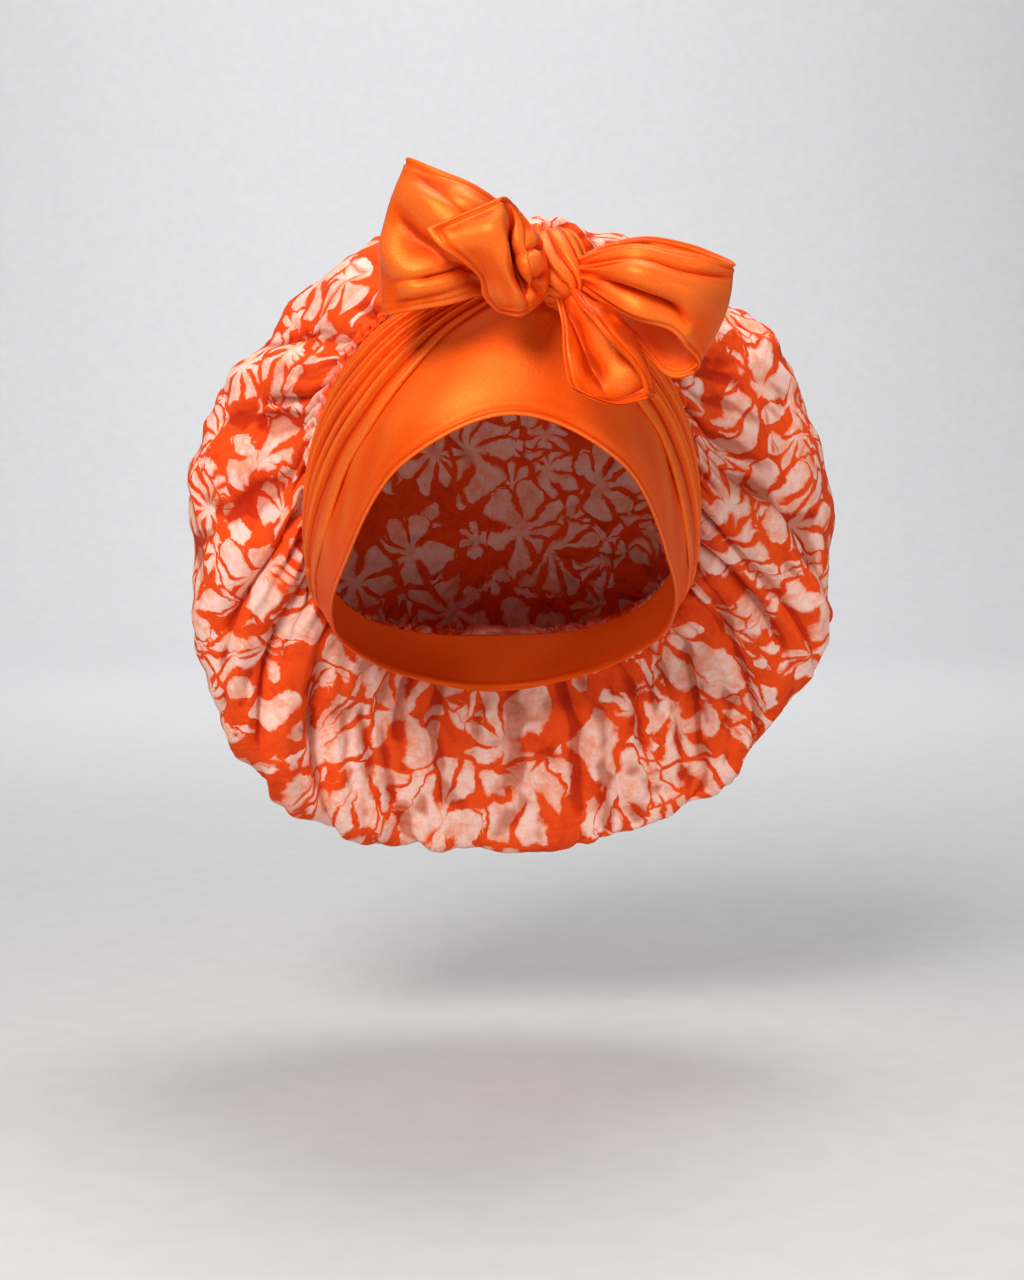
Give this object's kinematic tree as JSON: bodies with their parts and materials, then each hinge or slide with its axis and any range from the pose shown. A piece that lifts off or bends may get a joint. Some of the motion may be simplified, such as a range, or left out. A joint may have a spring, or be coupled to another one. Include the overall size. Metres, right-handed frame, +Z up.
{
  "type": "hair bonnet",
  "caption": "Full gathered hair bonnet with a wide satin band round the face, pleated satin ties and a bow knotted above the forehead, open at the front for the head.",
  "frame": {"origin": "middle of the head that the bonnet sits on, between the temples, inside the open hollow", "axes": "+Z up, the face opening looks along -Y, +X is the right side of the picture"},
  "size_m": [0.3084, 0.2742, 0.3196],
  "materials": {
    "satin_orange": "orange satin with a soft sheen",
    "batik_cotton": "matt cotton, orange-red with pale pink wax-resist petals"
  },
  "bodies": {
    "root": {"crown": "batik_cotton", "band": "satin_orange", "wrap_left": "satin_orange", "wrap_right": "satin_orange", "knot": "satin_orange", "loop_left": "satin_orange", "loop_right": "satin_orange", "tail_left": "satin_orange", "tail_right": "satin_orange"}
  },
  "joints": []
}
